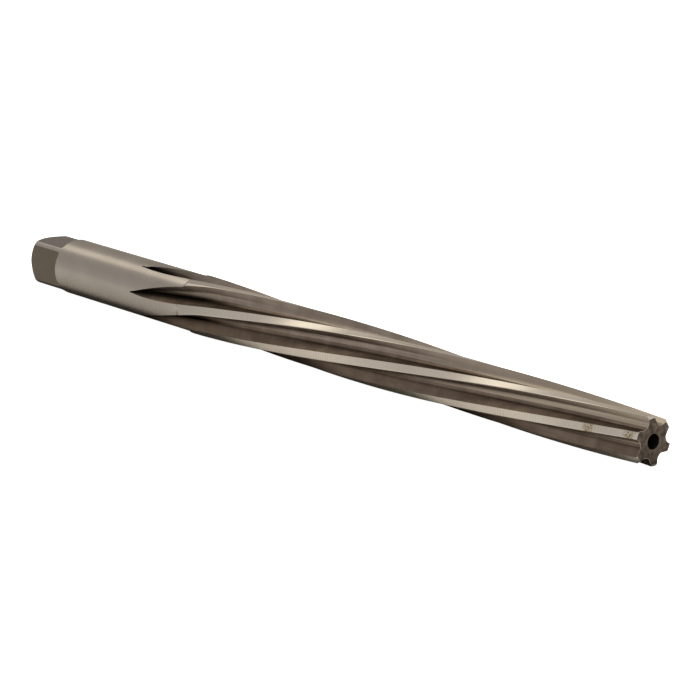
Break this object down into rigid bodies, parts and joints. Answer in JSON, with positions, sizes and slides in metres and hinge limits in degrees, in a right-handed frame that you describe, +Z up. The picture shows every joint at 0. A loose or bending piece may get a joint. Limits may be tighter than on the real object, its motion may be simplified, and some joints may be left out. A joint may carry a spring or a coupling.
{
  "type": "taper pin reamer",
  "caption": "Slender one-piece reamer with a gently tapered cutting length, left-hand spiral flutes, a plain round shank and a driving square.",
  "frame": {"origin": "on the surface that the tool lies on, below the middle of its length and its axis", "axes": "+X along the tool towards its small end, +Z up, a flat of the driving square facing +Z and one facing -Y"},
  "size_m": [0.1604, 0.0106, 0.0103],
  "materials": {
    "ground_tool_steel": "ground and satin, with darker flutes"
  },
  "bodies": {
    "root": {"taper_reamer": "ground_tool_steel"}
  },
  "joints": []
}
